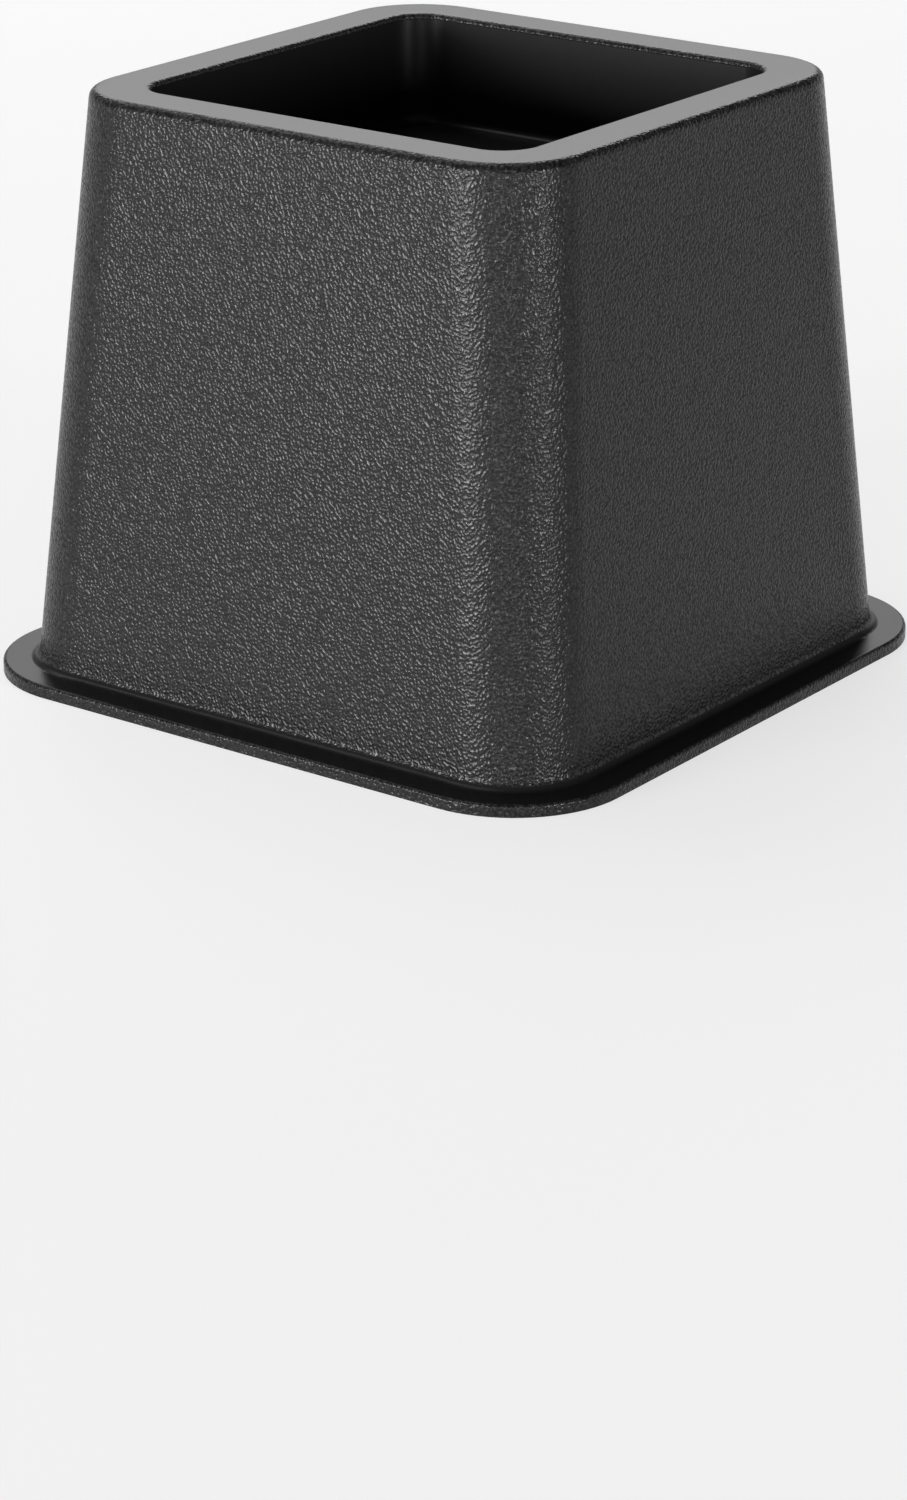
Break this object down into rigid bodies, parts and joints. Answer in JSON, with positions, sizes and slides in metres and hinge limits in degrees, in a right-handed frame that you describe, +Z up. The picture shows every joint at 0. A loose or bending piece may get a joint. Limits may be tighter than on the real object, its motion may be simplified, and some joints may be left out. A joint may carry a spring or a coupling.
{
  "type": "bed riser",
  "caption": "Square, tapered, hollow plastic bed riser with a base flange and a recess in its top for a bed leg; open underneath so that it nests in a stack.",
  "frame": {"origin": "centre of the base, on the floor", "axes": "+Z up through the middle of the recess; X and Y square to the walls"},
  "size_m": [0.16, 0.16, 0.13],
  "materials": {
    "black_polypropylene": "grained outside, satin on the rim, smooth in the recess and underneath"
  },
  "bodies": {
    "root": {"riser_body": "black_polypropylene"}
  },
  "joints": []
}
